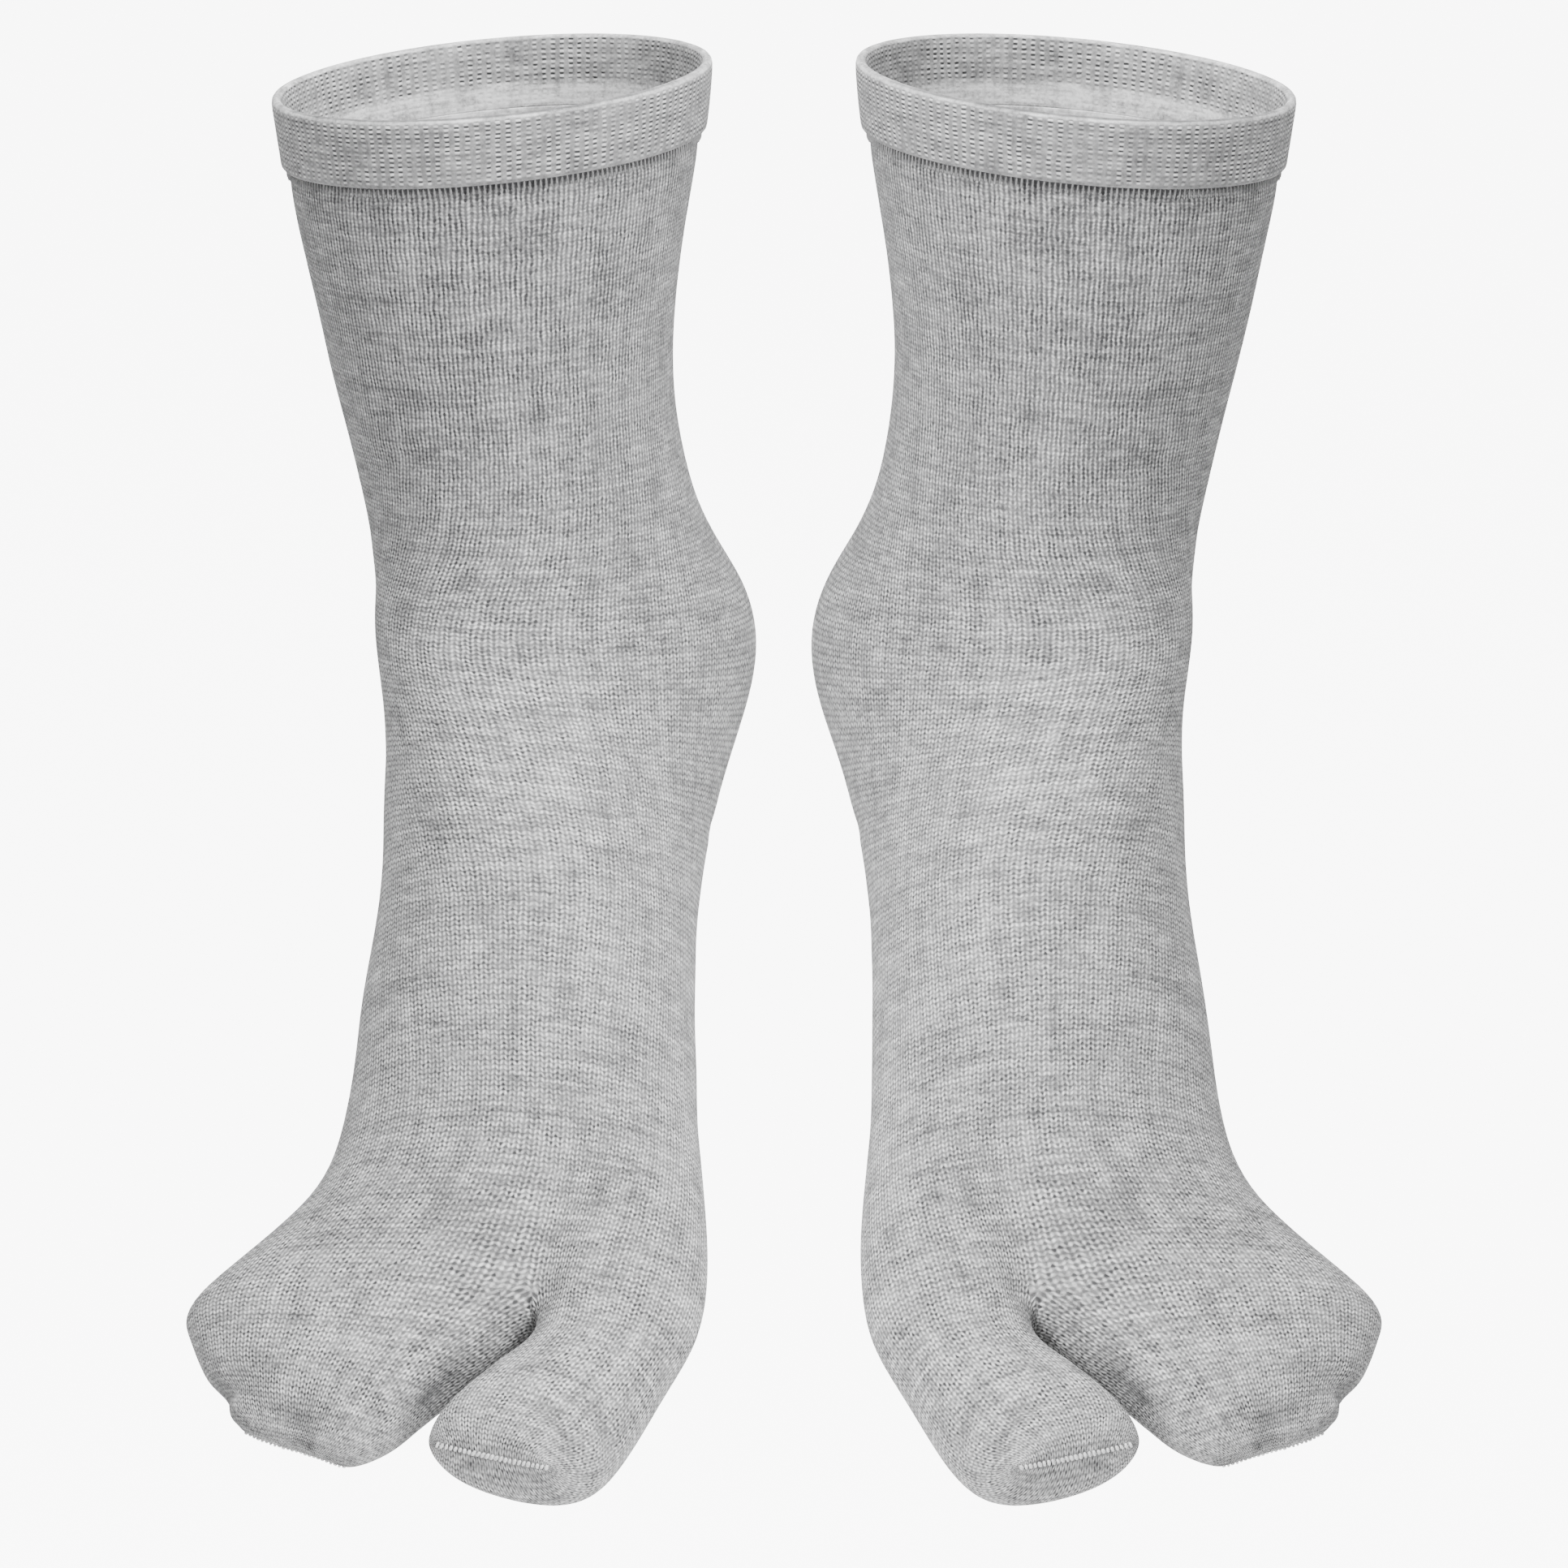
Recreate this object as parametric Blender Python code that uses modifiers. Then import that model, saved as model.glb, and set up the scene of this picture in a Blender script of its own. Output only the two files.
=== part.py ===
"""A pair of split-toe (tabi) socks, filled out as they are when worn, with the feet pointed down.

Each sock is one knitted tube: leg, heel and foot in one, parted at the front into a pocket for the big
toe and a pocket for the other four, and closed at each tip along a straight linked seam. A welt, the
hem of knitting turned down double, stands on top of the leg. Metres, +Z up, toes towards -Y. The
origin lies midway between the two legs, level with the top of the welts.
"""

import math

import bmesh
import bpy
from mathutils import Vector

MM = 0.001

# Driving dimensions, in millimetres unless a name says otherwise.
CLOTH = 1.2  # thickness of the knitted wall
WELT_CLOTH = 2.2  # thickness of the doubled hem
WELT_FOLD = 0.8  # roundness of the hem's edges
RING_POINTS = 20  # round the cage of the leg and foot
BIG_TOE_REACH = 4  # ring points from the inner side of the foot up to the cleft
CLEFT_SLANT = 2.2  # how far the cleft moves inwards for each millimetre that it sinks
SMOOTHING = 1  # levels of subdivision
CAGE_OVERSIZE = 1.016  # subdivision draws a ring of 20 points in by this much

WOOL_GREY = (0.46, 0.46, 0.46, 1.0)
WOOL_ROUGHNESS = 0.95

# One row for each section of the leg and foot, from the cuff to the cleft. front and back are the
# section's ends in the side view, as (forwards, up) from the middle of the leg and the top of the
# welt. half_width is half its size across. out is how far its middle lies from the plane between the
# two socks. belly is where it is widest, from 0 at the back to 1 at the front, and square is the power
# of its superellipse. turn swings its front outwards and lean raises its inner side, in degrees. cleft
# is how far the line between the toes sinks into it.
FOOT_COLUMNS = ("front", "back", "half_width", "out", "belly", "square", "turn", "lean", "cleft")
FOOT_SECTIONS = (
    ((36.5, -13.8), (-48.5, -13.8), 40.2, 56.4, 0.50, 2.0, 6, 5, 0),
    ((35.5, -32), (-46, -32), 36.9, 56.2, 0.50, 2.0, 6, 5, 0),
    ((34, -52), (-43.5, -52), 33.3, 55.6, 0.50, 2.0, 6, 4, 0),
    ((32.5, -70), (-43, -72), 31.6, 52.9, 0.50, 2.0, 8, 3, 0),
    ((34, -86), (-50, -91), 31.5, 48.8, 0.50, 2.0, 14, 1, 0),
    ((40, -98), (-66, -108), 32.5, 43.6, 0.50, 2.0, 24, 0, 0),
    ((47, -107), (-72, -127), 31.4, 41.8, 0.50, 2.1, 23, 0, 0),
    ((55, -116), (-65, -149), 29.5, 43.9, 0.50, 2.1, 16, 0, 0),
    ((64, -127), (-38, -164), 30.4, 46.5, 0.45, 2.1, 10, 0, 0),
    ((73, -139), (-5, -176), 30.1, 47.5, 0.42, 2.1, 6, 0, 0),
    ((83, -154), (28, -190), 32.3, 49.3, 0.42, 2.2, 6, 0, 0),
    ((93, -171), (58, -204), 33.4, 49.9, 0.42, 2.2, 6, 0, 0),
    ((103, -188), (81, -217), 38.0, 51.0, 0.42, 2.3, 8, 0, 1),
    ((113.5, -207), (97.5, -229), 52.2, 64.8, 0.44, 2.4, 10, 0, 4),
)

# The same for the two toe pockets, from just past the cleft to the seam.
POCKET_COLUMNS = ("top", "bottom", "half_width", "out", "belly", "square", "turn", "lean")
BIG_TOE_SECTIONS = (
    ((121, -214), (106, -238), 13.1, 34.9, 0.48, 2.3, 12, -3),
    ((130, -221), (116.5, -245), 16.6, 44.8, 0.48, 2.6, 18, -9),
    ((137, -225.5), (128.5, -246.8), 17.6, 50.4, 0.50, 2.8, 22, -6),
    ((141, -228), (137.5, -243.7), 15.4, 53.4, 0.58, 2.6, 22, -5),
)
BIG_TOE_SEAM = ((143, -232.5), (143, -232.5), 12.3, 54.8, 0.50, 2.0, 20, -5)
FOUR_TOES_SECTIONS = (
    ((116, -213), (100, -232), 31.8, 83.2, 0.46, 2.4, 14, 0),
    ((122.5, -221.5), (106.5, -236), 25.3, 87.5, 0.46, 2.2, 20, -1),
    ((127.5, -229.5), (113.5, -238.6), 18.9, 88.6, 0.46, 2.2, 24, -5),
    ((129.5, -234.5), (119.5, -239.6), 14.0, 90.6, 0.48, 2.0, 26, -8),
)
FOUR_TOES_SEAM = ((125.5, -237.8), (125.5, -237.8), 11.0, 92.4, 0.50, 2.0, 26, -9)

# The welt's sections, from the leg's top edge to the fold at the top.
WELT_SECTIONS = (
    ((37.0, -13.5), (-49.0, -13.5), 40.7, 56.4, 0.50, 2.0, 6, 5, 0),
    ((37.9, -6.5), (-49.8, -6.5), 41.6, 56.5, 0.50, 2.0, 6, 5, 0),
    ((38.3, 0), (-50.5, 0.6), 42.3, 56.8, 0.50, 2.0, 6, 4.8, 0),
)


def superellipse(angle, across, up, square):
    """The point at this angle of a superellipse with these half sizes."""
    c, s = math.cos(angle), math.sin(angle)
    return (
        across * math.copysign(abs(c) ** (2 / square), c),
        up * math.copysign(abs(s) ** (2 / square), s),
    )


def half_ring(points, across, up, square):
    """Points spread evenly along half a superellipse, from its inner end to its outer end."""
    steps = 240
    fine = [superellipse(math.pi * i / steps, across, up, square) for i in range(steps + 1)]
    run = [0.0]
    for a, b in zip(fine, fine[1:], strict=False):
        run.append(run[-1] + math.dist(a, b))
    spread, i = [], 0
    for k in range(points + 1):
        wanted = run[-1] * k / points
        while i < steps - 1 and run[i + 1] < wanted:
            i += 1
        share = (wanted - run[i]) / (run[i + 1] - run[i])
        spread.append([a + share * (b - a) for a, b in zip(fine[i], fine[i + 1], strict=True)])
    return spread


def section_points(count, row, columns):
    """A section's points, as (out, forwards, up) in millimetres, from its inner side over its top."""
    r = dict(zip(columns, row, strict=True))
    upper, lower = r.get("front", r.get("top")), r.get("back", r.get("bottom"))
    length = math.dist(upper, lower)
    rise = [(high - low) / length if length else 0.0 for high, low in zip(upper, lower, strict=True)]
    middle = [low + r["belly"] * (high - low) for low, high in zip(lower, upper, strict=True)]
    above = half_ring(count // 2, r["half_width"], (1 - r["belly"]) * length, r["square"])
    below = half_ring(count // 2, r["half_width"], r["belly"] * length, r["square"])
    flat = above + [(x, -y) for x, y in reversed(below[1:-1])]
    turn, lean = math.radians(r["turn"]), math.tan(math.radians(r["lean"]))
    points = []
    for k, (x, y) in enumerate(flat):
        x, y = x * CAGE_OVERSIZE, y * CAGE_OVERSIZE
        if k in (BIG_TOE_REACH, count - BIG_TOE_REACH):
            x += CLEFT_SLANT * r.get("cleft", 0.0)
            y -= math.copysign(r.get("cleft", 0.0), y)
        ahead = y * rise[0]
        points.append(
            (
                r["out"] - x * math.cos(turn) + ahead * math.sin(turn),
                middle[0] + x * math.sin(turn) + ahead * math.cos(turn),
                middle[1] + y * rise[1] + x * lean,
            )
        )
    return points


def placed(point, side):
    """A point of the sock in the pair's frame. side is -1 for the wearer's right sock, at -X, or 1."""
    out, forwards, up = point
    return Vector((side * out, -forwards, up)) * MM


def bridge(mesh, first, second):
    """Quads between two closed rings of as many vertices."""
    for k in range(len(first)):
        n = (k + 1) % len(first)
        corners = [first[k], first[n], second[n], second[k]]
        mesh.faces.new([v for i, v in enumerate(corners) if v not in corners[:i]])


def pocket(mesh, start, sections, seam, side):
    """A toe pocket lofted from its opening, a ring of vertices that begins at its inner side."""
    count = len(start)
    last = start
    for row in sections + (seam,):
        points = section_points(count, row, POCKET_COLUMNS)
        if row is seam:
            tip = [mesh.verts.new(placed(p, side)) for p in points[: count // 2 + 1]]
            fresh = tip + tip[-2:0:-1]
        else:
            fresh = [mesh.verts.new(placed(p, side)) for p in points]
        bridge(mesh, last, fresh)
        last = fresh


def loft(mesh, sections, side):
    """An open tube through the sections. Returns its last ring."""
    last = None
    for row in sections:
        points = section_points(RING_POINTS, row, FOOT_COLUMNS)
        fresh = [mesh.verts.new(placed(p, side)) for p in points]
        if last:
            bridge(mesh, last, fresh)
        last = fresh
    return last


def tube_cage(sections, side):
    mesh = bmesh.new()
    loft(mesh, sections, side)
    bmesh.ops.recalc_face_normals(mesh, faces=mesh.faces)
    return mesh


def sock_cage(side):
    """The cage of one sock: an open surface from the leg's top edge to the two toe seams."""
    mesh = bmesh.new()
    fork = loft(mesh, FOOT_SECTIONS, side)
    over, under = fork[BIG_TOE_REACH], fork[-BIG_TOE_REACH]
    # The web between the toes is the big toe's outer side and the other toes' inner side.
    web = mesh.verts.new((over.co + under.co) / 2)
    big_toe = fork[: BIG_TOE_REACH + 1] + [web] + fork[-BIG_TOE_REACH:]
    four_toes = [web] + fork[BIG_TOE_REACH : len(fork) - BIG_TOE_REACH + 1]
    pocket(mesh, big_toe, BIG_TOE_SECTIONS, BIG_TOE_SEAM, side)
    pocket(mesh, four_toes, FOUR_TOES_SECTIONS, FOUR_TOES_SEAM, side)
    bmesh.ops.recalc_face_normals(mesh, faces=mesh.faces)
    return mesh


def wool():
    material = bpy.data.materials.new("heather_grey_knit")
    material.use_nodes = True
    shader = material.node_tree.nodes["Principled BSDF"]
    shader.inputs["Base Color"].default_value = WOOL_GREY
    shader.inputs["Roughness"].default_value = WOOL_ROUGHNESS
    shader.inputs["Metallic"].default_value = 0.0
    return material


def clear_scene():
    for obj in list(bpy.data.objects):
        bpy.data.objects.remove(obj)


def add_object(name, mesh, collection, material):
    data = bpy.data.meshes.new(name)
    mesh.to_mesh(data)
    mesh.free()
    obj = bpy.data.objects.new(name, data)
    collection.objects.link(obj)
    data.materials.append(material)
    data.shade_smooth()
    return obj


def add_smoothing(obj):
    smooth = obj.modifiers.new("Smooth", "SUBSURF")
    smooth.levels = smooth.render_levels = SMOOTHING
    smooth.boundary_smooth = "PRESERVE_CORNERS"


def add_wall(obj, thickness):
    """A wall that grows inwards from the cage, which is the outer face."""
    wall = obj.modifiers.new("Wall", "SOLIDIFY")
    wall.thickness = thickness * MM
    wall.offset = -1.0


def add_sock(name, side, collection, material):
    obj = add_object(name, sock_cage(side), collection, material)
    add_smoothing(obj)
    add_wall(obj, CLOTH)
    return obj


def add_welt(name, side, collection, material):
    """The hem doubled over at the top, with both of its edges rounded."""
    obj = add_object(name, tube_cage(WELT_SECTIONS, side), collection, material)
    add_smoothing(obj)
    add_wall(obj, WELT_CLOTH)
    fold = obj.modifiers.new("Fold", "BEVEL")
    fold.width = WELT_FOLD * MM
    fold.segments = 2
    fold.limit_method = "ANGLE"
    fold.angle_limit = math.radians(50)
    return obj


def main():
    clear_scene()
    collection = bpy.data.collections.new("tabi_socks")
    bpy.context.scene.collection.children.link(collection)
    material = wool()
    for name, side in (("right", -1), ("left", 1)):
        add_sock(f"sock_{name}", side, collection, material)
        add_welt(f"welt_{name}", side, collection, material)


main()
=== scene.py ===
import math

import bmesh
import bpy
import numpy as np
from mathutils import Matrix, Vector, noise


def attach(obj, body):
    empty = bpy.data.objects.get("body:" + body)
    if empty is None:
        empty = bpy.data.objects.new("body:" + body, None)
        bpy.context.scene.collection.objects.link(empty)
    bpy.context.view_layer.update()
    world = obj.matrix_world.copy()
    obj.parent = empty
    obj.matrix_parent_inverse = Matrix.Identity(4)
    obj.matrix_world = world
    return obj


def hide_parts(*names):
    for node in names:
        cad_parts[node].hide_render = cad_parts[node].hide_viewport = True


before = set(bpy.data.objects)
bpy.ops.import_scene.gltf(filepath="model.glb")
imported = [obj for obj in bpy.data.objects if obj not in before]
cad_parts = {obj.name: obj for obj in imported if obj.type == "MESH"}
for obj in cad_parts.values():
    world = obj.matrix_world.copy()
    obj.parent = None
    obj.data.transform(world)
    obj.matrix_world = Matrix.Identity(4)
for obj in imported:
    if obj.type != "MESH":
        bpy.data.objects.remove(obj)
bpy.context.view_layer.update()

# ---------------------------------------------------------------------------------------------
# The legs and feet: each sock is one tube of fine heather grey jersey, knitted from the welt
# down, filled out as on a pointed foot. At the toes the tube forks into a pocket for the big
# toe and one for the other four. Sizes are in millimetres: out from the plane between the two
# socks, forwards to the toes, and up.
MM = 0.001
RING_POINTS = 20
BIG_TOE_REACH = 4
CLEFT_SLANT = 2.2
CAGE_OVERSIZE = 1.016
CLOTH = 1.2
WALES_PER_COLUMN = 6
COURSES_AT_FORK = 8.0
LEAST_COURSES = 5.0
SIDES = {"right": -1, "left": 1}

# A section of the leg and foot is a tilted closed curve. front and back are its two ends as
# (forwards, up), and out is its middle. belly is where it is widest, as a share of the way from
# back to front. turn and lean, in degrees, swing it outwards and raise its inner side. cleft is how
# deep the groove above the fork is. course is the height of one row of stitches there, stretched
# over the foot.
FOOT_COLUMNS = ("front", "back", "half_width", "out", "belly", "square", "turn", "lean", "cleft", "course")
FOOT_SECTIONS = (
    ((36.1, -13.4), (-48.1, -13.4), 39.8, 56.4, 0.50, 2.0, 6, 5, 0, 0.74),
    ((35.9, -15.4), (-47.8, -15.4), 39.5, 56.4, 0.50, 2.0, 6, 5, 0, 0.74),
    ((36.1, -17.6), (-48.2, -17.6), 39.7, 56.4, 0.50, 2.0, 6, 5, 0, 0.75),
    ((35.5, -32), (-46, -32), 36.9, 56.2, 0.50, 2.0, 6, 5, 0, 0.78),
    ((34, -52), (-43.5, -52), 33.3, 55.6, 0.50, 2.0, 6, 4, 0, 0.82),
    ((32.5, -70), (-43, -72), 31.6, 52.9, 0.50, 2.0, 8, 3, 0, 0.85),
    ((34, -86), (-50, -91), 31.5, 48.8, 0.50, 2.0, 14, 1, 0, 0.88),
    ((40, -98), (-66, -108), 32.5, 43.6, 0.50, 2.0, 24, 0, 0, 0.88),
    ((47, -107), (-72, -127), 31.4, 41.8, 0.50, 2.1, 23, 0, 0, 0.88),
    ((55, -116), (-65, -149), 29.5, 43.9, 0.50, 2.1, 16, 0, 0, 0.90),
    ((64, -127), (-38, -164), 30.4, 46.5, 0.45, 2.1, 10, 0, 0, 0.93),
    ((73, -139), (-5, -176), 30.1, 47.5, 0.42, 2.1, 6, 0, 0, 0.96),
    ((83, -154), (28, -190), 32.3, 49.3, 0.42, 2.2, 6, 0, 0, 1.00),
    ((93, -171), (58, -204), 33.4, 49.9, 0.42, 2.2, 6, 0, 0, 1.00),
    ((103, -188), (81, -217), 38.0, 51.0, 0.42, 2.3, 8, 0, 1, 1.00),
    ((113.5, -207), (97.5, -229), 52.2, 64.8, 0.44, 2.4, 10, 0, 4, 1.00),
)

# A section of a toe pocket, from the fork to its seam. top and bottom are (forwards, up), and
# belly is counted from the bottom.
POCKET_COLUMNS = ("top", "bottom", "half_width", "out", "belly", "square", "turn", "lean")
BIG_TOE_SECTIONS = (
    ((121, -214), (106, -238), 13.1, 34.9, 0.48, 2.3, 12, -3),
    ((130, -221), (116.5, -245), 16.6, 44.8, 0.48, 2.6, 18, -9),
    ((137, -225.5), (128.5, -246.8), 17.6, 50.4, 0.50, 2.8, 22, -6),
    ((141, -228), (137.5, -243.7), 15.4, 53.4, 0.58, 2.6, 22, -5),
    ((143, -232.5), (143, -232.5), 12.3, 54.8, 0.50, 2.0, 20, -5),
)
FOUR_TOES_SECTIONS = (
    ((116, -213), (100, -232), 31.8, 83.2, 0.46, 2.4, 14, 0),
    ((122.5, -221.5), (106.5, -236), 25.3, 87.5, 0.46, 2.2, 20, -1),
    ((127.5, -229.5), (113.5, -238.6), 18.9, 88.6, 0.46, 2.2, 24, -5),
    ((129.5, -234.5), (119.5, -239.6), 14.0, 90.6, 0.48, 2.0, 26, -8),
    ((125.5, -237.8), (125.5, -237.8), 11.0, 92.4, 0.50, 2.0, 26, -9),
)

# Soft troughs and ridges that the foot's bends push into the cloth, in the same millimetres.
# A negative depth stands proud. A trough as deep as the first value below gets the full painted shade.
# The jersey also swells and sinks a little all over, UNEVEN deep, but for the top under the welt.
CREASE_DEPTH_FULLY_SHADED = 1.5
UNEVEN = 0.22
SWELLS_PER_METRE = 55
EVEN_ABOVE = -17.0
EVEN_FADE = 12.0
CREASE_COLUMNS = ("start", "end", "width", "depth")
CREASES = (
    ((52, 113, -210), (56, 117, -218), 8, 0.25),
    ((59, 121, -223), (68, 128, -231), 10, 2.3),
    ((47, 115, -211), (43, 116, -209), 6, 0.5),
    ((68, 103, -193), (56, 110, -201), 14, 1.0),
    ((74, 113, -207), (57, 113, -206), 4, 0.35),
    ((57, 113, -206), (40, 114, -205), 4, 0.45),
    ((41, 116, -207), (46, 116, -211), 5, 0.5),
    ((93, 97, -201), (87, 104, -202), 5, 0.7),
    ((50, 134, -224), (42, 137, -226), 6, 0.9),
    ((42, 137, -226), (40, 143, -232), 6, 1.0),
    ((36, 134, -228), (32, 133, -236), 6, 0.7),
    ((107, 112, -232), (99, 120, -225), 8, 1.7),
    ((104, 119, -231), (101, 122, -229), 5, -0.6),
    ((91, 130, -237), (91, 125, -226), 9, 1.1),
    ((81, 131, -236), (84, 127, -227), 9, -0.6),
    ((106, 116, -240), (103, 121, -237), 8, 1.5),
    ((100, 122, -229), (87, 130, -233), 7, 0.7),
    ((74, 29, -101), (51, 37, -99), 8, 0.5),
    ((75, 39, -125), (54, 55, -120), 8, 0.45),
    ((51, 49, -115), (32, 35, -117), 9, 0.4),
    ((78, 23, -59), (62, 33, -57), 8, 0.4),
    ((81, 13, -73), (68, 29, -68), 7, 0.45),
    ((53, 74, -143), (69, 68, -148), 8, 0.45),
    ((41, 88, -164), (27, 84, -170), 9, 0.45),
    ((67, -39, -78), (38, -44, -80), 8, 0.9),
    ((60, -47, -91), (36, -56, -93), 7, 0.6),
    ((78, 10, -100), (76, -20, -92), 9, 0.6),
    ((76, 20, -130), (74, -8, -126), 8, 0.5),
    ((16, -10, -151), (18, 19, -140), 8, 0.6),
    ((36, -19, -170), (54, -10, -174), 8, 0.7),
    ((45, 25, -189), (62, 20, -185), 8, 0.6),
    ((60, 70, -210), (85, 81, -215), 10, 0.6),
)


def superellipse(angle, across, up, square):
    """A point of an oval whose corners fill out as square grows past 2."""
    c, s = math.cos(angle), math.sin(angle)
    x = across * math.copysign(abs(c) ** (2 / square), c)
    y = up * math.copysign(abs(s) ** (2 / square), s)
    return x, y


def half_ring(points, across, up, square):
    """Points spread evenly along the upper half of the oval, both ends among them."""
    fine = [superellipse(math.pi * i / 400, across, up, square) for i in range(401)]
    walked = [0.0]
    for a, b in zip(fine, fine[1:]):
        walked.append(walked[-1] + math.dist(a, b))
    return [
        (
            float(np.interp(walked[-1] * k / points, walked, [p[0] for p in fine])),
            float(np.interp(walked[-1] * k / points, walked, [p[1] for p in fine])),
        )
        for k in range(points + 1)
    ]


def section_points(count, row, columns):
    """The points (out, forwards, up) of one section, from its inner side over the top."""
    r = dict(zip(columns, row, strict=True))
    upper, lower = r.get("front", r.get("top")), r.get("back", r.get("bottom"))
    length = math.dist(upper, lower)
    rise = [(high - low) / length if length else 0.0 for high, low in zip(upper, lower)]
    middle = [low + r["belly"] * (high - low) for low, high in zip(lower, upper)]
    above = half_ring(count // 2, r["half_width"], (1 - r["belly"]) * length, r["square"])
    below = half_ring(count // 2, r["half_width"], r["belly"] * length, r["square"])
    flat = above + [(x, -y) for x, y in reversed(below[1:-1])]
    turn, lean = math.radians(r["turn"]), math.tan(math.radians(r["lean"]))
    points = []
    for k, (x, y) in enumerate(flat):
        x, y = x * CAGE_OVERSIZE, y * CAGE_OVERSIZE
        if k in (BIG_TOE_REACH, count - BIG_TOE_REACH):
            x += CLEFT_SLANT * r.get("cleft", 0.0)
            y -= math.copysign(r.get("cleft", 0.0), y)
        ahead = y * rise[0]
        points.append(
            (
                r["out"] - x * math.cos(turn) + ahead * math.sin(turn),
                middle[0] + x * math.sin(turn) + ahead * math.cos(turn),
                middle[1] + y * rise[1] + x * lean,
            )
        )
    return points


def placed(point, side):
    out, forwards, up = point
    return Vector((side * out, -forwards, up)) * MM


def ring_of_vertices(mesh, points, side):
    return [mesh.verts.new(placed(p, side)) for p in points]


def knit_between(mesh, near, far, wales, courses, marks):
    """Faces from one ring to the next, and the wale and course that each corner lies on."""
    count = len(near)
    for k in range(count):
        j = (k + 1) % count
        face = mesh.faces.new((near[k], near[j], far[j], far[k]))
        marks[face] = {
            near[k]: (wales[k][0], courses[0]),
            near[j]: (wales[k][1], courses[0]),
            far[j]: (wales[k][1], courses[1]),
            far[k]: (wales[k][0], courses[1]),
        }


def knit_pocket(mesh, ring, sections, wales, course, side, marks):
    """A toe pocket from the fork's ring to its seam, where its two halves meet in one line."""
    count = len(ring)
    upper = sections[0][0]
    for i, row in enumerate(sections):
        points = section_points(count, row, POCKET_COLUMNS)
        if i < len(sections) - 1:
            following = ring_of_vertices(mesh, points, side)
        else:
            half = ring_of_vertices(mesh, points[: count // 2 + 1], side)
            following = half + half[1:-1][::-1]
        step = COURSES_AT_FORK if i == 0 else max(LEAST_COURSES, math.dist(upper, row[0]))
        knit_between(mesh, ring, following, wales, (course, course + step), marks)
        ring, upper, course = following, row[0], course + step
    return ring


def sock_cage(side):
    """The open cage of one sock, its wales and courses, and the edges where its toes are closed."""
    mesh = bmesh.new()
    marks = {}
    round_wales = [(WALES_PER_COLUMN * k, WALES_PER_COLUMN * (k + 1)) for k in range(RING_POINTS)]
    ring, course = None, 0.0
    for i, row in enumerate(FOOT_SECTIONS):
        following = ring_of_vertices(mesh, section_points(RING_POINTS, row, FOOT_COLUMNS), side)
        if ring:
            before = FOOT_SECTIONS[i - 1]
            rows = math.dist(before[0], row[0]) / (0.5 * (before[-1] + row[-1]))
            knit_between(mesh, ring, following, round_wales, (course, course + rows), marks)
            course += rows
        ring = following
    over, under = ring[BIG_TOE_REACH], ring[-BIG_TOE_REACH]
    web = mesh.verts.new((over.co + under.co) / 2)
    reach, last = BIG_TOE_REACH, RING_POINTS - BIG_TOE_REACH
    w = WALES_PER_COLUMN
    into_web = [(w * reach, w * (reach + 1))]
    out_of_web = [(w * (last - 1), w * last)]
    big_toe = ring[: reach + 1] + [web] + ring[last:]
    big_toe_wales = round_wales[:reach] + into_web + out_of_web + round_wales[last:]
    four_toes = [web] + ring[reach : last + 1]
    four_toes_wales = [(w * (reach - 1), w * reach)] + round_wales[reach:last] + [(w * last, w * (last + 1))]
    seams = []
    seams.append(knit_pocket(mesh, big_toe, BIG_TOE_SECTIONS, big_toe_wales, course, side, marks))
    seams.append(knit_pocket(mesh, four_toes, FOUR_TOES_SECTIONS, four_toes_wales, course, side, marks))
    bmesh.ops.recalc_face_normals(mesh, faces=mesh.faces)
    knit = mesh.loops.layers.uv.new("knit")
    for face, corners in marks.items():
        for loop in face.loops:
            loop[knit].uv = corners[loop.vert]
    for line in seams:
        for a, b in zip(line, line[1 : len(line) // 2 + 1]):
            mesh.edges.get((a, b)).seam = True
    return mesh


def plain_mesh(obj, name):
    """The object's mesh with its modifiers worked in, which are then taken off."""
    depsgraph = bpy.context.evaluated_depsgraph_get()
    data = bpy.data.meshes.new_from_object(obj.evaluated_get(depsgraph))
    data.name = name
    obj.modifiers.clear()
    obj.data = data
    return data


def crease_depth(points, crease, side):
    """How far in each point goes for one trough. It is deepest along its middle, it fades towards
    both ends, and a low swell runs beside it."""
    c = dict(zip(CREASE_COLUMNS, crease, strict=True))
    start, end = (np.array(placed(c[key], side)) for key in ("start", "end"))
    along = end - start
    t = np.clip((points - start) @ along / (along @ along), 0, 1)
    away = np.linalg.norm(points - start - t[:, None] * along, axis=1) / (c["width"] * MM / 2)
    ends = np.sqrt(np.clip(np.sin(np.pi * (0.06 + 0.88 * t)), 0, 1))
    return c["depth"] * MM * ends * (1 - 0.9 * away**2) * np.exp(-(away**2))


def soften(data, side):
    """Presses the creases into the cloth and gives it the slight unevenness of worn jersey. How deep each
    point lies in a crease is kept, for the shade painted into the jersey along its creases."""
    count = len(data.vertices)
    points = np.empty(count * 3)
    data.vertices.foreach_get("co", points)
    points = points.reshape(-1, 3)
    normals = np.empty(count * 3)
    data.vertex_normals.foreach_get("vector", normals)
    normals = normals.reshape(-1, 3)
    inwards = sum(crease_depth(points, crease, side) for crease in CREASES)
    # The trough depth is kept as an attribute, for the painted shade in the jersey's creases.
    painted_crease_shade = data.attributes.new("painted_crease_shade", "FLOAT", "POINT")
    painted_crease_shade.data.foreach_set("value", np.clip(inwards / (CREASE_DEPTH_FULLY_SHADED * MM), 0, 1))
    swell = np.array([noise.noise(Vector(p) * SWELLS_PER_METRE) for p in points]) * UNEVEN * MM
    below_welt = np.clip((EVEN_ABOVE * MM - points[:, 2]) / (EVEN_FADE * MM), 0, 1)
    points -= normals * ((inwards + swell) * below_welt)[:, None]
    data.vertices.foreach_set("co", points.ravel())
    data.update()


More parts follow.
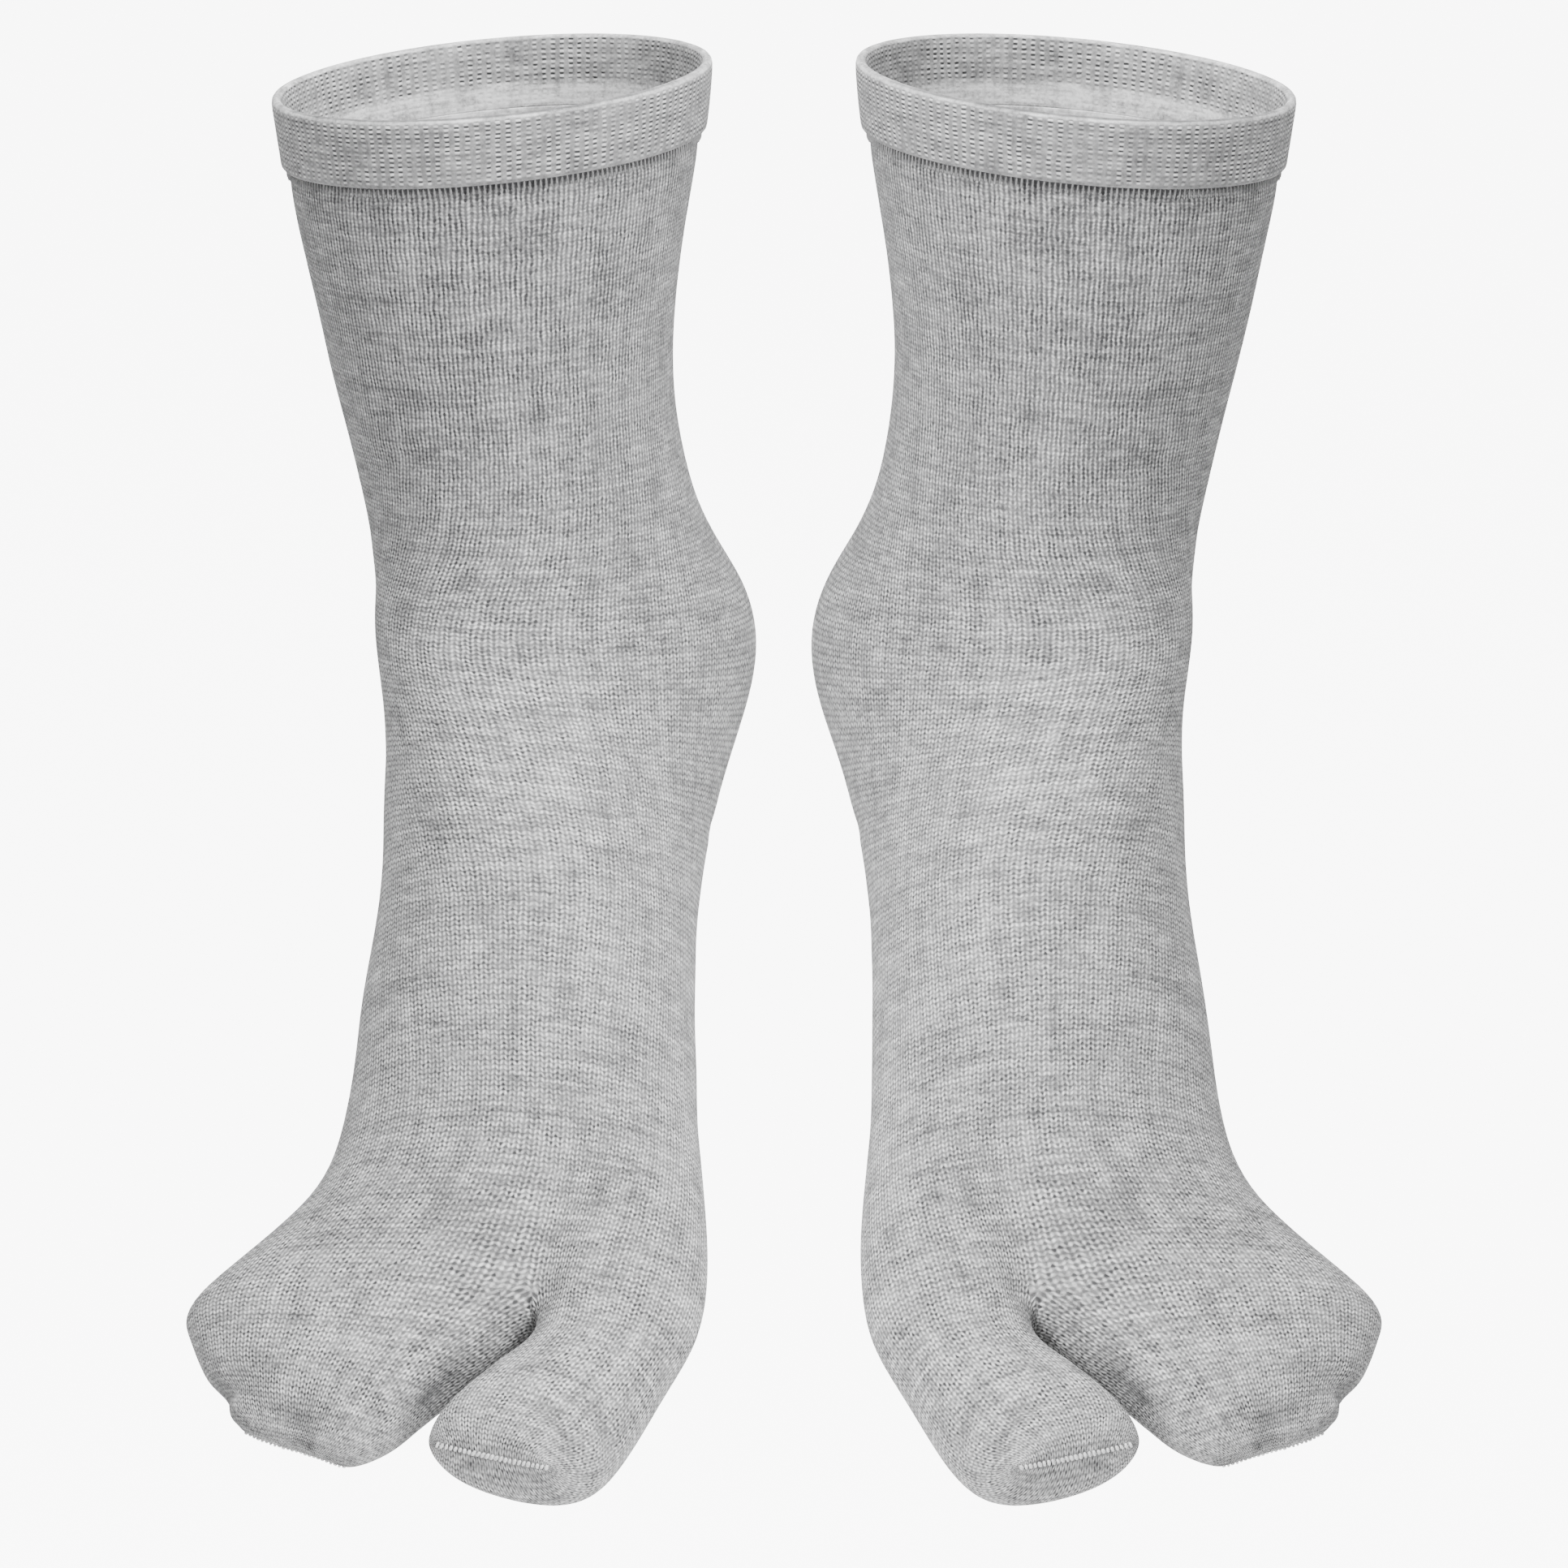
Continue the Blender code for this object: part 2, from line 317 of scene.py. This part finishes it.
# Wool spun from a pale and a dark fleece: the gaps between its strands, and their lit tops.
DARK_WOOL = (0.045, 0.045, 0.047, 1)
PALE_WOOL = (0.80, 0.80, 0.80, 1)


class Value:
    """A value worked out at each point of a cloth. Sums with it add Math nodes."""

    def __init__(self, finish, socket):
        self.finish, self.socket = finish, socket

    def math(self, operation, *others):
        inputs = dict(enumerate((self, *others)))
        return self.finish.node("ShaderNodeMath", {"operation": operation}, inputs)

    def __add__(self, other):
        return self.math("ADD", other)

    def __sub__(self, other):
        return self.math("SUBTRACT", other)

    def __mul__(self, other):
        return self.math("MULTIPLY", other)

    def __truediv__(self, other):
        return self.math("DIVIDE", other)

    def __pow__(self, other):
        return self.math("POWER", other)

    def __neg__(self):
        return self.math("MULTIPLY", -1.0)

    def __radd__(self, other):
        return self.math("ADD", other)

    def __rmul__(self, other):
        return self.math("MULTIPLY", other)

    def __rsub__(self, other):
        return self.finish.node("ShaderNodeMath", {"operation": "SUBTRACT"}, {0: other, 1: self})

    def __abs__(self):
        return self.math("ABSOLUTE")

    def part(self):
        return self.math("FRACT")

    def whole(self):
        return self.math("FLOOR")

    def least(self, other):
        return self.math("MINIMUM", other)

    def most(self, other):
        return self.math("MAXIMUM", other)

    def between(self, low, high):
        """0 below low, 1 above high, and a soft step from one to the other."""
        settings = {"interpolation_type": "SMOOTHSTEP"}
        return self.finish.node("ShaderNodeMapRange", settings, {0: self, 1: low, 2: high}, "Result")


class Finish:
    """A material, and the one way in which its nodes are made."""

    def __init__(self, name):
        self.material = bpy.data.materials.new(name)
        self.material.use_nodes = True
        self.tree = self.material.node_tree
        self.shader = self.tree.nodes["Principled BSDF"]

    def node(self, kind, settings=None, inputs=None, output=0):
        made = self.tree.nodes.new(kind)
        for key, setting in (settings or {}).items():
            setattr(made, key, setting)
        for key, given in (inputs or {}).items():
            if isinstance(given, Value):
                self.tree.links.new(given.socket, made.inputs[key])
            else:
                made.inputs[key].default_value = given
        return Value(self, made.outputs[output])

    def noise(self, place, scale, detail=2.0, rough=0.5):
        inputs = {"Vector": place, "Scale": scale, "Detail": detail, "Roughness": rough}
        return self.node("ShaderNodeTexNoise", {}, inputs, "Fac")

    def chance(self, across, up):
        """A random share, the same all over one stitch."""
        which = self.node("ShaderNodeCombineXYZ", {}, {0: across, 1: up})
        return self.node("ShaderNodeTexWhiteNoise", {"noise_dimensions": "2D"}, {"Vector": which}, "Value")

    def give(self, socket, given):
        self.tree.links.new(given.socket, self.shader.inputs[socket])


def wool(finish, stitch, place, along, streaks=1.0):
    """What every knit here shares: heather in short streaks along the rows and long faint ones down
    the wales, and a dull soft skin."""
    streaky = finish.node("ShaderNodeMapping", {}, {"Vector": along, "Scale": (0.32, 0.80, 1)})
    blotchy = finish.node("ShaderNodeMapping", {}, {"Vector": along, "Scale": (0.10, 0.22, 1)})
    upright = finish.node("ShaderNodeMapping", {}, {"Vector": along, "Scale": (0.9, 0.025, 1)})
    fine = finish.noise(place, 1300, 2.0, 0.6)
    streak = finish.noise(streaky, 1.0, 2.0, 0.55) - 0.5
    blotch = finish.noise(blotchy, 1.0, 2.0, 0.5) - 0.5
    wale = finish.noise(upright, 1.0, 1.0, 0.5) - 0.5
    mottle = 2.3 * streak + 1.0 * abs(streak) + 1.3 * blotch + 0.9 * wale
    tone = 1 + mottle * streaks + 1.6 * (fine - 0.5)
    light = (stitch * tone.most(0.1)).least(1.0)
    settings = {"data_type": "RGBA", "blend_type": "MIX"}
    colour = finish.node("ShaderNodeMix", settings, {0: light, 6: DARK_WOOL, 7: PALE_WOOL}, 2)
    finish.give("Base Color", colour)
    finish.shader.inputs["Roughness"].default_value = 0.95
    finish.shader.inputs["Specular IOR Level"].default_value = 0.15
    finish.shader.inputs["Sheen Weight"].default_value = 0.12
    finish.shader.inputs["Sheen Roughness"].default_value = 0.6


def raised(finish, height, distance):
    """Lets the stitches catch the light."""
    bump = finish.node("ShaderNodeBump", {}, {"Strength": 1.0, "Distance": distance, "Height": height})
    finish.give("Normal", bump)


def jersey(reverse):
    """Plain jersey: two strands a stitch, and a round pinhole on each side of every strand. On the
    leg it is knitted tighter, so that the pinholes run together into thin dark furrows. Shade is
    painted into it in the groove under the welt and along its creases. The reverse shows the heads
    of the loops instead, in rows across, with its top courses under the welt painted pale as light."""
    finish = Finish("heather_grey_jersey_reverse" if reverse else "heather_grey_jersey")
    place = finish.node("ShaderNodeTexCoord", output="Object")
    wander = finish.noise(place, 330, 1.5) - 0.5
    knit = finish.node("ShaderNodeUVMap", {"uv_map": "knit"})
    wale = finish.node("ShaderNodeSeparateXYZ", {}, {0: knit}, "X") + 0.42 * wander
    course = finish.node("ShaderNodeSeparateXYZ", {}, {0: knit}, "Y") + 0.5 * wander
    to_middle = 1 - abs(2 * wale.part() - 1)
    from_hole = 1 - abs(2 * (2 * wale).part() - 1)
    stitch_row = course + 0.5 * to_middle
    from_row = 1 - abs(2 * stitch_row.part() - 1)
    chance = finish.chance((2 * wale + 0.5).whole(), (stitch_row + 0.5).whole())
    if reverse:
        # Painted light: over its top courses, under the welt, the reverse is painted pale and smooth.
        head = (from_row.between(0.1, 0.8) * (0.7 + 0.3 * from_hole)).most(1 - course.between(4, 8))
        wool(finish, 0.28 + 0.42 * head * (0.8 + 0.2 * chance), place, knit)
        raised(finish, head, 0.0003)
        return finish.material
    tight = finish.node("ShaderNodeSeparateXYZ", {}, {0: place}, "Z").between(-0.125, -0.045)
    plump = finish.chance((2 * wale).whole(), stitch_row.whole())
    worn = finish.noise(place, 170, 2.0).between(0.34, 0.66)
    away = (from_hole / 0.86) ** 2 + (from_row / (0.80 + 0.75 * tight)) ** 2
    hole = (1 - away.between(0.06, 1.0)) * (0.35 + 0.65 * chance) * (0.62 + 0.38 * worn)
    bead = from_row.between(0.0, 0.8).most(0.4 * tight)
    strand = from_hole.between(0.15, 0.9) * bead * (0.42 + 0.58 * plump)
    # Painted shade: the top courses, in the groove under the welt, are darkened.
    shade_under_welt = 1 - 0.78 * (1 - course.between(1.0, 2.8))
    # Painted shade: the jersey darkens along its creases, as far as the trough is deep at each point.
    painted_crease_shade = finish.node("ShaderNodeAttribute", {"attribute_name": "painted_crease_shade"}, output="Fac")
    toes = 1 - finish.node("ShaderNodeSeparateXYZ", {}, {0: place}, "Z").between(-0.225, -0.19)
    ground = 0.245 + 0.06 * toes - 0.055 * tight
    depth = 0.26 + 0.10 * toes - 0.04 * tight
    stitch = ground + 0.54 * strand - depth * hole
    wool(finish, stitch * shade_under_welt * (1 - 0.5 * painted_crease_shade), place, knit)
    raised(finish, strand - hole, 0.0002)
    return finish.material


jersey_faces = [jersey(reverse=False), jersey(reverse=True)]
socks = {}
for name, side in SIDES.items():
    cage = sock_cage(side)
    data = bpy.data.meshes.new(f"jersey_{name}")
    cage.to_mesh(data)
    cage.free()
    sock = bpy.data.objects.new(f"jersey_{name}", data)
    bpy.context.scene.collection.objects.link(sock)
    smooth = sock.modifiers.new("Smooth", "SUBSURF")
    smooth.levels = smooth.render_levels = 3
    smooth.boundary_smooth = "PRESERVE_CORNERS"
    smooth.uv_smooth = "SMOOTH_ALL"
    data = plain_mesh(sock, f"jersey_{name}")
    data.shade_smooth()
    soften(data, side)
    data.materials.clear()
    for face in jersey_faces:
        data.materials.append(face)
    wall = sock.modifiers.new("Cloth", "SOLIDIFY")
    wall.thickness = CLOTH * MM
    wall.offset = -1.0
    wall.material_offset = 1
    socks[name] = sock
    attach(sock, "root")
    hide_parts(f"sock_{name}")

# ---------------------------------------------------------------------------------------------
# The welts: the hem of each sock, knitted in a mock rib and doubled over at the top, so that it
# is a band of two layers with a smooth fold along the rim. It is linked to the leg below it.
WELT_COLUMNS = ("front", "back", "half_width", "out", "belly", "square", "turn", "lean")
WELT_SECTIONS = (
    ((37.0, -13.5), (-49.0, -13.5), 40.7, 56.4, 0.50, 2.0, 6, 5),
    ((37.9, -6.5), (-49.8, -6.5), 41.6, 56.5, 0.50, 2.0, 6, 5),
    ((38.3, 0), (-50.5, 0.6), 42.3, 56.8, 0.50, 2.0, 6, 4.8),
)
WELT_HEIGHT = 13.5
WELT_AROUND = 240
WELT_WALES = 140
WELT_COURSE = 0.93
# Courses up the outer face to the middle of the fold, and on down the inner face to the linking.
FOLD_COURSE = 15.3
LINKING_COURSE = 25.5
# The outline of the band, cut across: how far up it and how far in from its outer face.
WELT_OUTLINE = (
    (0.0, 0.75), (0.1, 0.35), (0.5, 0.06), (1.1, 0.0), (3.0, 0.0), (5.0, 0.0), (7.0, 0.0), (9.0, 0.0),
    (11.0, 0.0), (12.2, 0.05), (12.9, 0.22), (13.3, 0.55), (13.5, 1.1), (13.3, 1.65), (12.9, 2.0),
    (12.2, 2.2), (11.0, 2.25), (9.0, 2.25), (7.0, 2.25), (5.0, 2.25), (3.0, 2.25), (1.1, 2.25),
    (0.5, 2.25), (0.15, 2.2), (0.0, 1.9), (0.0, 1.6),
)


def welt_rows():
    """The three sections as rings of points, so that any height between them can be read."""
    return [np.array(section_points(WELT_AROUND, row, WELT_COLUMNS)) for row in WELT_SECTIONS]


def welt_face(rows, height):
    """The outer face at a height above the welt's lower edge, and the way out of it."""
    t = 2 * height / WELT_HEIGHT
    weights = (0.5 * (t - 1) * (t - 2), -t * (t - 2), 0.5 * t * (t - 1))
    points = sum(w * r for w, r in zip(weights, rows))
    around = np.roll(points, -1, axis=0) - np.roll(points, 1, axis=0)
    out = np.cross(around, np.tile((0.0, 0.0, 1.0), (len(points), 1)))
    out /= np.linalg.norm(out, axis=1)[:, None]
    middle = points.mean(axis=0)
    out *= np.sign(((points - middle) * out).sum(axis=1))[:, None]
    return points, out


def welt_mesh(name, side):
    rows = welt_rows()
    mesh = bmesh.new()
    rings, walked = [], [0.0]
    for i, (height, inset) in enumerate(WELT_OUTLINE):
        points, out = welt_face(rows, height)
        points = points - out * inset
        rings.append(ring_of_vertices(mesh, points, side))
        following = WELT_OUTLINE[(i + 1) % len(WELT_OUTLINE)]
        walked.append(walked[-1] + math.dist((height, inset), following))
    knit = mesh.loops.layers.uv.new("knit")
    for i, near in enumerate(rings):
        far = rings[(i + 1) % len(rings)]
        for k in range(WELT_AROUND):
            j = (k + 1) % WELT_AROUND
            face = mesh.faces.new((near[k], near[j], far[j], far[k]))
            wales = [WELT_WALES * n / WELT_AROUND for n in (k, k + 1, k + 1, k)]
            courses = [walked[n] / WELT_COURSE for n in (i, i, i + 1, i + 1)]
            for loop, wale, course in zip(face.loops, wales, courses):
                loop[knit].uv = (wale, course)
    bmesh.ops.recalc_face_normals(mesh, faces=mesh.faces)
    data = bpy.data.meshes.new(name)
    mesh.to_mesh(data)
    mesh.free()
    data.shade_smooth()
    return data


def mock_rib():
    """Mock rib: in each wale a ladder of lit bars and dark gaps, smooth strands between the
    ladders, a plain fold at the top with a painted highlight along it, a painted shade line in
    its crease at the front, and a pale line of painted light where the inner layer is linked."""
    finish = Finish("heather_grey_mock_rib")
    place = finish.node("ShaderNodeTexCoord", output="Object")
    wander = finish.noise(place, 330, 1.5) - 0.5
    knit = finish.node("ShaderNodeUVMap", {"uv_map": "knit"})
    wale = finish.node("ShaderNodeSeparateXYZ", {}, {0: knit}, "X") + 0.40 * wander
    course = finish.node("ShaderNodeSeparateXYZ", {}, {0: knit}, "Y") + 0.45 * wander
    chance = finish.chance(wale.whole(), (course + 0.5).whole())
    ladder = 1 - abs(2 * wale.part() - 1).between(0.22, 0.66)
    gap = abs(2 * course.part() - 1).between(0.42, 0.95)
    bar = 1 - abs(2 * course.part() - 1).between(0.1, 0.7)
    off_fold = abs(course - FOLD_COURSE).between(1.0, 1.7)
    hem = course.between(0.6, 1.8)
    # Painted light: a pale line where the inner layer is linked to the leg, smooth without the ladder.
    painted_light_line = course.between(LINKING_COURSE - 1, LINKING_COURSE + 1)
    worn = finish.noise(place, 110, 2.0).between(0.36, 0.62)
    ladder = ladder * off_fold * hem * (1 - 0.8 * painted_light_line) * (0.30 + 0.70 * chance) * (0.40 + 0.60 * worn)
    to_front = (-finish.node("ShaderNodeSeparateXYZ", {}, {0: place}, "Y")).between(0.0, 0.03)
    # Painted shade: a thin dark line in the crease at the front of the fold, which the bump also dents.
    crease = (1 - abs(course - FOLD_COURSE + 0.1).between(0.25, 0.70)) * to_front
    inside = course.between(FOLD_COURSE + 1.2, FOLD_COURSE + 2.7)
    # The fold is plain, without the ladder, and is painted paler along its top as a highlight.
    stitch = 0.23 + 0.33 * (1 - off_fold) + 0.09 * inside + 0.40 * painted_light_line - 0.38 * crease
    stitch = stitch + ladder * (0.90 * bar - 0.45 * gap)
    wool(finish, stitch, place, knit, 0.9)
    raised(finish, ladder * (0.5 * bar - 1.0 * gap) - crease, 0.0002)
    return finish.material


mock_rib_material = mock_rib()
welts = {}
for name, side in SIDES.items():
    data = welt_mesh(f"welt_rib_{name}", side)
    data.materials.append(mock_rib_material)
    welt = bpy.data.objects.new(f"welt_rib_{name}", data)
    bpy.context.scene.collection.objects.link(welt)
    welts[name] = welt
    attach(welt, "root")
    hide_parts(f"welt_{name}")

# ---------------------------------------------------------------------------------------------
# The loops that hang each leg on its welt: two strands of the same yarn for each wale of the leg,
# nearly upright in the narrow groove under the hem. Lengths are in millimetres, turns in degrees.
LOOPS_HEIGHT = -0.9
LOOPS_INSET = 1.0
STITCH_SIZES = ((0.75, 0.75, 0.7), (1.2, 1.15, 1.2))
LINKS_IN = (("Spacing", 1.0), ("Length", 2.2), ("Thickness", 0.42), ("Slant", 0.0), ("Unevenness", 6.0))


def row_of_stitches():
    """A node tree that sets stitches along a path, each lying across it and on the cloth."""
    tree = bpy.data.node_groups.new("row_of_stitches", "GeometryNodeTree")
    face = tree.interface
    face.new_socket(name="Path", in_out="INPUT", socket_type="NodeSocketGeometry")
    for name, _ in LINKS_IN:
        face.new_socket(name=name, in_out="INPUT", socket_type="NodeSocketFloat")
    face.new_socket(name="Yarn", in_out="INPUT", socket_type="NodeSocketMaterial")
    face.new_socket(name="Stitches", in_out="OUTPUT", socket_type="NodeSocketGeometry")
    given = tree.nodes.new("NodeGroupInput").outputs

    def add(kind, settings=None, inputs=None):
        made = tree.nodes.new(kind)
        for key, setting in (settings or {}).items():
            setattr(made, key, setting)
        for key, value in (inputs or {}).items():
            if isinstance(value, bpy.types.NodeSocket):
                tree.links.new(value, made.inputs[key])
            else:
                made.inputs[key].default_value = value
        return made.outputs

    def metres(socket, times=1.0):
        return add("ShaderNodeMath", {"operation": "MULTIPLY"}, {0: socket, 1: MM * times})[0]

    line = add("GeometryNodeMeshToCurve", {}, {"Mesh": given["Path"]})[0]
    spaced = {"Curve": line, "Length": metres(given["Spacing"])}
    points = add("GeometryNodeResampleCurve", {"mode": "LENGTH"}, spaced)[0]
    outward = add("GeometryNodeInputNamedAttribute", {"data_type": "FLOAT_VECTOR"}, {"Name": "outward"})[0]
    tangent = add("GeometryNodeInputTangent")[0]
    upright = add("FunctionNodeAlignRotationToVector", {"axis": "Z"}, {"Vector": outward})[0]
    facing = add(
        "FunctionNodeAlignRotationToVector",
        {"axis": "X", "pivot_axis": "Z"},
        {"Rotation": upright, "Vector": tangent},
    )[0]
    chance = add("FunctionNodeRandomValue", {"data_type": "FLOAT"}, {2: -1.0, 3: 1.0, "Seed": 4})[1]
    leaning = {0: chance, 1: given["Unevenness"], 2: given["Slant"]}
    slant = add("ShaderNodeMath", {"operation": "MULTIPLY_ADD"}, leaning)[0]
    turned = add("ShaderNodeMath", {"operation": "RADIANS"}, {0: slant})[0]
    about = add("ShaderNodeCombineXYZ", {}, {2: turned})[0]
    rotation = add("FunctionNodeRotateRotation", {"rotation_space": "LOCAL"}, {0: facing, 1: about})[0]
    ball = add("GeometryNodeMeshUVSphere", {}, {"Segments": 8, "Rings": 6, "Radius": 0.5})[0]
    thick, long, high = metres(given["Thickness"]), metres(given["Length"]), metres(given["Thickness"], 0.9)
    size = add("ShaderNodeCombineXYZ", {}, {0: thick, 1: long, 2: high})[0]
    sizes = {0: STITCH_SIZES[0], 1: STITCH_SIZES[1], "Seed": 9}
    varied = add("FunctionNodeRandomValue", {"data_type": "FLOAT_VECTOR"}, sizes)[0]
    scale = add("ShaderNodeVectorMath", {"operation": "MULTIPLY"}, {0: size, 1: varied})[0]
    placing = {"Points": points, "Instance": ball, "Rotation": rotation, "Scale": scale}
    row = add("GeometryNodeInstanceOnPoints", {}, placing)[0]
    solid = add("GeometryNodeRealizeInstances", {}, {0: row})[0]
    smooth = add("GeometryNodeSetShadeSmooth", {}, {"Geometry": solid})[0]
    yarn = add("GeometryNodeSetMaterial", {}, {"Geometry": smooth, "Material": given["Yarn"]})[0]
    tree.links.new(yarn, tree.nodes.new("NodeGroupOutput").inputs[0])
    return tree


def yarn(name, tone):
    """The yarn itself, spun from light and dark wool."""
    finish = Finish(name)
    place = finish.node("ShaderNodeTexCoord", output="Object")
    twist = finish.noise(place, 2400, 2.0, 0.6)
    wool(finish, tone + 0.3 * (twist - 0.5), place, place, 0.0)
    raised(finish, twist, 0.0001)
    return finish.material


def stitched(name, paths, yarn, sizes):
    """One object of stitches along paths. A path is its points, their ways outward, and closed or not."""
    data = bpy.data.meshes.new(name)
    points, edges, outward = [], [], []
    for line, ways, closed in paths:
        first = len(points)
        points += [tuple(p) for p in line]
        outward += [tuple(w) for w in ways]
        edges += [(first + i, first + i + 1) for i in range(len(line) - 1)]
        if closed:
            edges.append((first + len(line) - 1, first))
    data.from_pydata(points, edges, [])
    ways = data.attributes.new("outward", "FLOAT_VECTOR", "POINT")
    ways.data.foreach_set("vector", [x for w in outward for x in w])
    row = bpy.data.objects.new(name, data)
    bpy.context.scene.collection.objects.link(row)
    stitches = row.modifiers.new("Stitches", "NODES")
    stitches.node_group = stitch_tree
    sockets = {s.name: s.identifier for s in stitch_tree.interface.items_tree if s.in_out == "INPUT"}
    for key, value in {**dict(LINKS_IN), **sizes}.items():
        stitches[sockets[key]] = value
    stitches[sockets["Yarn"]] = yarn
    plain_mesh(row, name)
    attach(row, "root")
    return row


stitch_tree = row_of_stitches()
loop_yarn = yarn("heather_grey_yarn", 0.26)
links = {}
for name, side in SIDES.items():
    points, out = welt_face(welt_rows(), LOOPS_HEIGHT)
    points = (points + np.roll(points, -1, axis=0)) / 2 - out * LOOPS_INSET
    around = sum(math.dist(a, b) for a, b in zip(points, np.roll(points, -1, axis=0)))
    line = [placed(p, side) for p in points]
    ways = [Vector((side * o[0], -o[1], o[2])) for o in out]
    sizes = {"Spacing": around / WELT_AROUND}
    links[name] = stitched(f"welt_loops_{name}", [(line, ways, True)], loop_yarn, sizes)

# ---------------------------------------------------------------------------------------------
# The toe seams: each pocket is closed by a row of linked stitches that stands up as a light cord
# across the big toe, and along the low front edge of the other pocket. It stops short of each end.
SEAM_PROUD = 0.05
SEAM_END = 4
seam_yarn = yarn("pale_grey_yarn", 0.95)
seams = {}
for name, side in SIDES.items():
    data = socks[name].data
    joined = {}
    for edge in data.edges:
        if edge.use_seam:
            a, b = edge.vertices
            joined.setdefault(a, []).append(b)
            joined.setdefault(b, []).append(a)
    ends = sorted(v for v, others in joined.items() if len(others) == 1)
    paths, used = [], set()
    for start in ends:
        if start in used:
            continue
        chain = [start]
        while True:
            used.add(chain[-1])
            onward = [v for v in joined[chain[-1]] if v not in used]
            if not onward:
                break
            chain.append(onward[0])
        normals = [data.vertex_normals[v].vector.copy() for v in chain]
        line = [data.vertices[v].co + n * (SEAM_PROUD * MM) for v, n in zip(chain, normals)]
        paths.append((line[SEAM_END:-SEAM_END], normals[SEAM_END:-SEAM_END], False))
    sizes = {"Spacing": 0.9, "Length": 1.4, "Thickness": 0.7, "Slant": 24.0 * side, "Unevenness": 11.0}
    seams[name] = stitched(f"toe_seams_{name}", paths, seam_yarn, sizes)

# ---------------------------------------------------------------------------------------------
# The studio: soft light from all round, a broad lamp overhead, and one on each side in front that
# lights its own sock and the floor, so that neither sock shades the other. The plain pale floor
# lies well below the toes and glows away from the socks, and its glow lights the floor alone.
FLOOR_UP = -0.62
FLOOR_HALF = 8.0
floor_mesh = bmesh.new()
under = Matrix.Translation((0, 0, FLOOR_UP))
bmesh.ops.create_grid(floor_mesh, x_segments=1, y_segments=1, size=FLOOR_HALF, matrix=under)
data = bpy.data.meshes.new("floor")
floor_mesh.to_mesh(data)
floor_mesh.free()
floor = bpy.data.objects.new("floor", data)
bpy.context.scene.collection.objects.link(floor)
paper = Finish("white_paper")
place = paper.node("ShaderNodeTexCoord", output="Object")
near = paper.node("ShaderNodeVectorMath", {"operation": "MULTIPLY"}, {0: place, 1: (1, 1, 0)})
far = paper.node("ShaderNodeVectorMath", {"operation": "LENGTH"}, {0: near}, "Value").between(0.4, 1.0)
settings = {"data_type": "RGBA", "blend_type": "MIX"}
glow = paper.node("ShaderNodeMix", settings, {0: far, 6: (0, 0, 0, 1), 7: (1, 1, 1, 1)}, 2)
paper.give("Emission Color", glow)
paper.shader.inputs["Emission Strength"].default_value = 8.0
paper.shader.inputs["Base Color"].default_value = (0.82, 0.82, 0.82, 1)
paper.shader.inputs["Roughness"].default_value = 0.9
data.materials.append(paper.material)
glowing = bpy.data.collections.new("lit_by_floor_glow")
glowing.objects.link(floor)
floor.light_linking.receiver_collection = glowing


def soft_lamp(name, place, aim, size, power):
    light = bpy.data.lights.new(name, "AREA")
    light.shape = "RECTANGLE"
    light.size, light.size_y = size
    light.energy = power
    lamp = bpy.data.objects.new(name, light)
    bpy.context.scene.collection.objects.link(lamp)
    lamp.location = place
    lamp.rotation_euler = (Vector(place) - Vector(aim)).to_track_quat("Z", "Y").to_euler()
    lamp.visible_camera = False
    return lamp


for name, side in SIDES.items():
    lamp = soft_lamp(f"key_lamp_{name}", (side * -1.0, -1.1, 0.35), (0, 0, -0.13), (0.7, 0.7), 30.0)
    lit = bpy.data.collections.new(f"lit_by_key_lamp_{name}")
    for piece in (socks[name], welts[name], links[name], seams[name], floor):
        lit.objects.link(piece)
    lamp.light_linking.receiver_collection = lit
    lamp.light_linking.blocker_collection = lit
soft_lamp("top_lamp", (0, -0.5, 1.6), (0, 0, -0.1), (1.2, 1.2), 78.0)

world = bpy.data.worlds.new("studio")
world.use_nodes = True
world.node_tree.nodes["Background"].inputs["Color"].default_value = (1, 1, 1, 1)
world.node_tree.nodes["Background"].inputs["Strength"].default_value = 0.43
bpy.context.scene.world = world

view = bpy.data.cameras.new("camera")
view.lens = 236.65
view.sensor_width = 36
camera = bpy.data.objects.new("camera", view)
bpy.context.scene.collection.objects.link(camera)
aim, tilt, distance = Vector((0, -0.03, -0.1325)), math.radians(14), 2.0
camera.location = aim + Vector((0, -math.cos(tilt), math.sin(tilt))) * distance
camera.rotation_euler = (math.radians(90) - tilt, 0, 0)
view.clip_start = 0.1
view.clip_end = 30
bpy.context.scene.camera = camera
